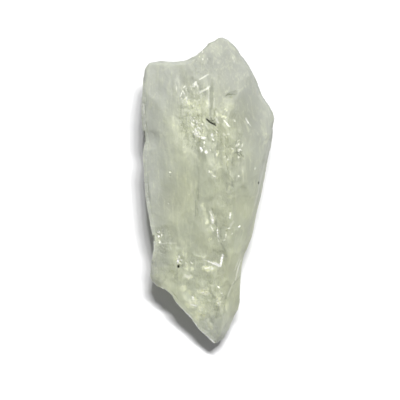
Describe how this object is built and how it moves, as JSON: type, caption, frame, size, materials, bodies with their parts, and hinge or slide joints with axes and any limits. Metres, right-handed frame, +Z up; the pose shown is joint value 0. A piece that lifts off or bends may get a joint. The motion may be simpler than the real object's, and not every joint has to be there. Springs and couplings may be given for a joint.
{
  "type": "prasiolite crystal",
  "caption": "Rough broken shard of pale green quartz with facets, ledges and a pointed end, lying on its flattest break.",
  "frame": {"origin": "bottom centre of the shard's box, on the surface it lies on", "axes": "+Y along the shard, from its pointed lower tip to its blunt upper end; +X across it to the right; +Z up from the resting face"},
  "size_m": [0.0216, 0.05, 0.0111],
  "materials": {
    "crystal": "milky translucent pale green quartz with satin breaks and a few bright facets"
  },
  "bodies": {
    "root": {"crystal": "crystal"}
  },
  "joints": []
}
